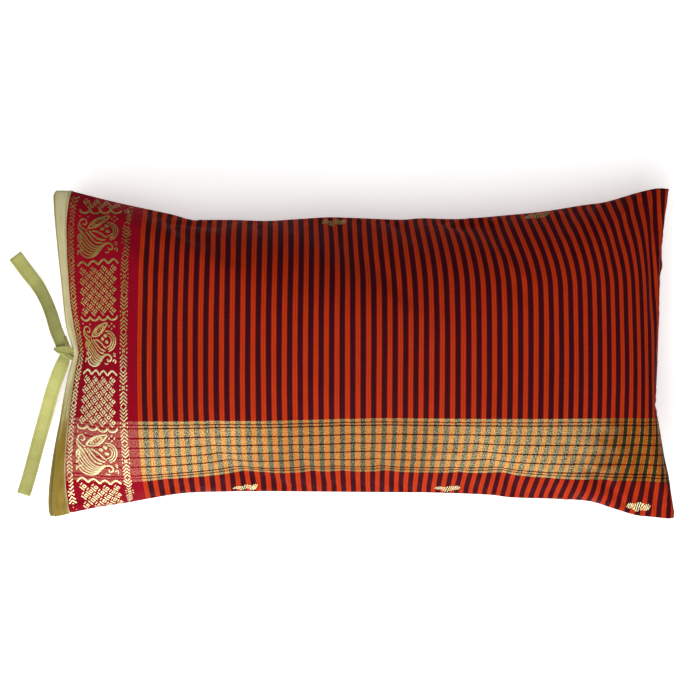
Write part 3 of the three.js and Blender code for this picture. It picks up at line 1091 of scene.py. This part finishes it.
# Each row: x, y, z of the tape's middle, its width, and how far it leans over to its left, in degrees
UPPER_TAIL = (
    (-294.0, 2.5, 47.5, 9.5, 0), (-294.6, 8.0, 47.5, 11.6, 0), (-297.0, 15.0, 45.0, 12.8, -6),
    (-300.8, 24.0, 39.0, 13.2, -10), (-305.5, 38.0, 27.5, 13.0, -12), (-311.8, 52.4, 15.0, 12.8, -8),
    (-319.8, 66.0, 5.0, 13.4, -4), (-329.6, 78.6, 1.6, 14.0, 0), (-342.6, 96.0, 1.0, 14.2, 0),
)
LOWER_TAIL = (
    (-291.0, -1.0, 48.0, 9.0, 0), (-292.0, -6.0, 49.5, 11.5, 0), (-294.2, -12.0, 50.0, 13.0, 4),
    (-298.4, -22.0, 46.0, 13.6, 8), (-304.4, -38.0, 35.0, 13.8, 12), (-311.4, -60.5, 16.0, 13.8, 8),
    (-319.6, -88.0, 3.0, 13.6, 2), (-328.2, -120.0, 1.0, 13.6, 0), (-334.2, -139.8, 1.0, 13.6, 0),
)
WRAP = (
    (-283.5, -1.5, 45.0, 7.0, 0), (-288.5, 0.0, 43.0, 9.0, 0), (-295.0, 2.2, 43.4, 7.5, 0),
    (-299.8, 3.7, 45.6, 4.4, 0), (-301.3, 4.1, 47.8, 2.6, 0), (-299.8, 4.0, 50.4, 4.0, 0),
    (-295.8, 3.4, 52.2, 6.8, -8), (-291.6, 2.6, 53.2, 9.4, -14), (-287.6, 1.2, 52.6, 11.0, -12),
    (-284.6, -0.6, 49.6, 9.6, -6), (-281.0, -1.2, 47.4, 8.4, 0), (-277.0, -1.4, 47.0, 8.0, 0),
)
FOLD = (
    (-298.6, 1.6, 47.6, 2.0, 0), (-295.6, 0.6, 51.0, 3.0, -10), (-291.6, -1.2, 53.6, 3.6, -16),
    (-287.6, -3.2, 53.2, 3.8, -16), (-284.4, -5.0, 50.6, 3.4, -10), (-281.4, -5.0, 48.0, 2.6, 0),
)
STRAND = (
    (-291.0, 16.5, 46.0, 2.4, 0), (-289.6, 11.0, 49.6, 3.6, -14), (-288.0, 6.6, 52.2, 4.2, -18),
    (-285.4, 3.2, 51.4, 4.4, -16), (-282.4, 1.6, 48.4, 3.6, 0), (-279.6, 1.2, 47.2, 3.0, 0),
)
TAPE_STEP = 1.6
# The tape's half section: the share of its half width, and its half thickness
TAPE_SECTION = (
    (-1.0, 0.0), (-0.97, 0.55), (-0.86, 0.82), (-0.7, 0.74), (-0.62, 0.6), (-0.3, 0.66), (0.0, 0.68),
    (0.3, 0.66), (0.62, 0.6), (0.7, 0.74), (0.86, 0.82), (0.97, 0.55), (1.0, 0.0),
)


def tape_sides(line):
    """The directions across a tape and off its face, carried smoothly along it and kept nearly level."""
    along = np.gradient(line[:, :3], axis=0)
    along /= np.linalg.norm(along, axis=1, keepdims=True)
    flat = np.cross((0.0, 0.0, 1.0), along)
    side = np.zeros_like(flat)
    side[0] = flat[0] / np.linalg.norm(flat[0])
    for k in range(1, len(line)):
        carried = side[k - 1] - along[k] * (side[k - 1] @ along[k])
        level = flat[k] * np.sign(flat[k] @ carried or 1.0)
        mixed = carried / np.linalg.norm(carried) * 0.7 + level * 0.3
        side[k] = mixed / np.linalg.norm(mixed)
    over = np.cross(along, side)
    lean = np.radians(line[:, 4])[:, None]
    return side * np.cos(lean) + over * np.sin(lean), over * np.cos(lean) - side * np.sin(lean)


def tape_mesh(rows, thickness, hem):
    """Points, faces and cloth coordinates of a tape along rows of a table such as UPPER_TAIL. Its last
    hem millimetres are a little thicker."""
    length = line_length(np.array(rows)[:, :3])
    count = max(6, round(length / TAPE_STEP)) + 1
    line = smooth_line(rows, np.linspace(0, 1, count))
    side, over = tape_sides(line)
    upper = np.array(TAPE_SECTION)
    loop = np.concatenate([upper, (upper[1:-1] * (1, -1))[::-1]])
    places = np.linspace(0, length, count)
    swell = 1 + 0.35 * (places > length - hem) * (hem > 0)
    across = loop[:, 0][None, :, None] * (line[:, 3] / 2)[:, None, None] * side[:, None, :]
    raised = loop[:, 1][None, :, None] * (swell * thickness)[:, None, None] * over[:, None, :]
    points = (line[:, None, :3] + across + raised).reshape(-1, 3)
    points[:, 2] = np.maximum(points[:, 2], 0)
    n = len(loop)
    faces = []
    for i in range(count - 1):
        for j in range(n):
            k = (j + 1) % n
            faces.append((i * n + j, i * n + k, (i + 1) * n + k, (i + 1) * n + j))
    faces += [list(range(n))[::-1], list(range((count - 1) * n, count * n))]
    uv = np.stack(np.broadcast_arrays(loop[None, :, 0], places[:, None]), axis=-1).reshape(-1, 2)
    return points, faces, uv


def tie_piece(name, strands, material, hem=0.0):
    """One object of tapes. Each strand is a table of rows and the tape's thickness in millimetres."""
    points, faces, uv, start = [], [], [], 0
    for rows, thickness in strands:
        places, rings, cloth = tape_mesh(rows, thickness, hem)
        faces += [[start + n for n in ring] for ring in rings]
        points.append(places)
        uv.append(cloth)
        start += len(places)
    return add_mesh(name, np.concatenate(points), faces, material, np.concatenate(uv))


# The pillow

add_camera()
add_room_light()
add_softbox("key", 88, (2.2, 1.6), (-0.9, -2.3, 1.75))
add_softbox("overhead", 280, (6.0, 6.0), (0.0, -2.6, 6.4))
add_floor()
panels = fill_cover()
sari, gold, satin, cotton = sari_cloth(), gold_thread(), band_satin(), tie_cotton()

cover = cover_piece(panels, sari)
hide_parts("filled_cover")

for side, word in ((1, "front"), (-1, "back")):
    threads = gold_piece("gold_threads_" + word, panels[side], gold)
    band = band_piece("satin_band_" + word, panels[side], satin)
    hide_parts("opening_band_" + word)

for word, rows in (("upper", UPPER_TAIL), ("lower", LOWER_TAIL)):
    tail = tie_piece(word + "_tail_tape", [(rows, 1.0)], cotton, hem=5.0)
    tail_length = line_length(np.array(rows)[:, :3])
    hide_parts("tie_" + word + "_tail")

knot = tie_piece("knot_wraps", [(WRAP, 1.3), (FOLD, 1.7), (STRAND, 1.6)], cotton)
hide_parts("tie_knot")
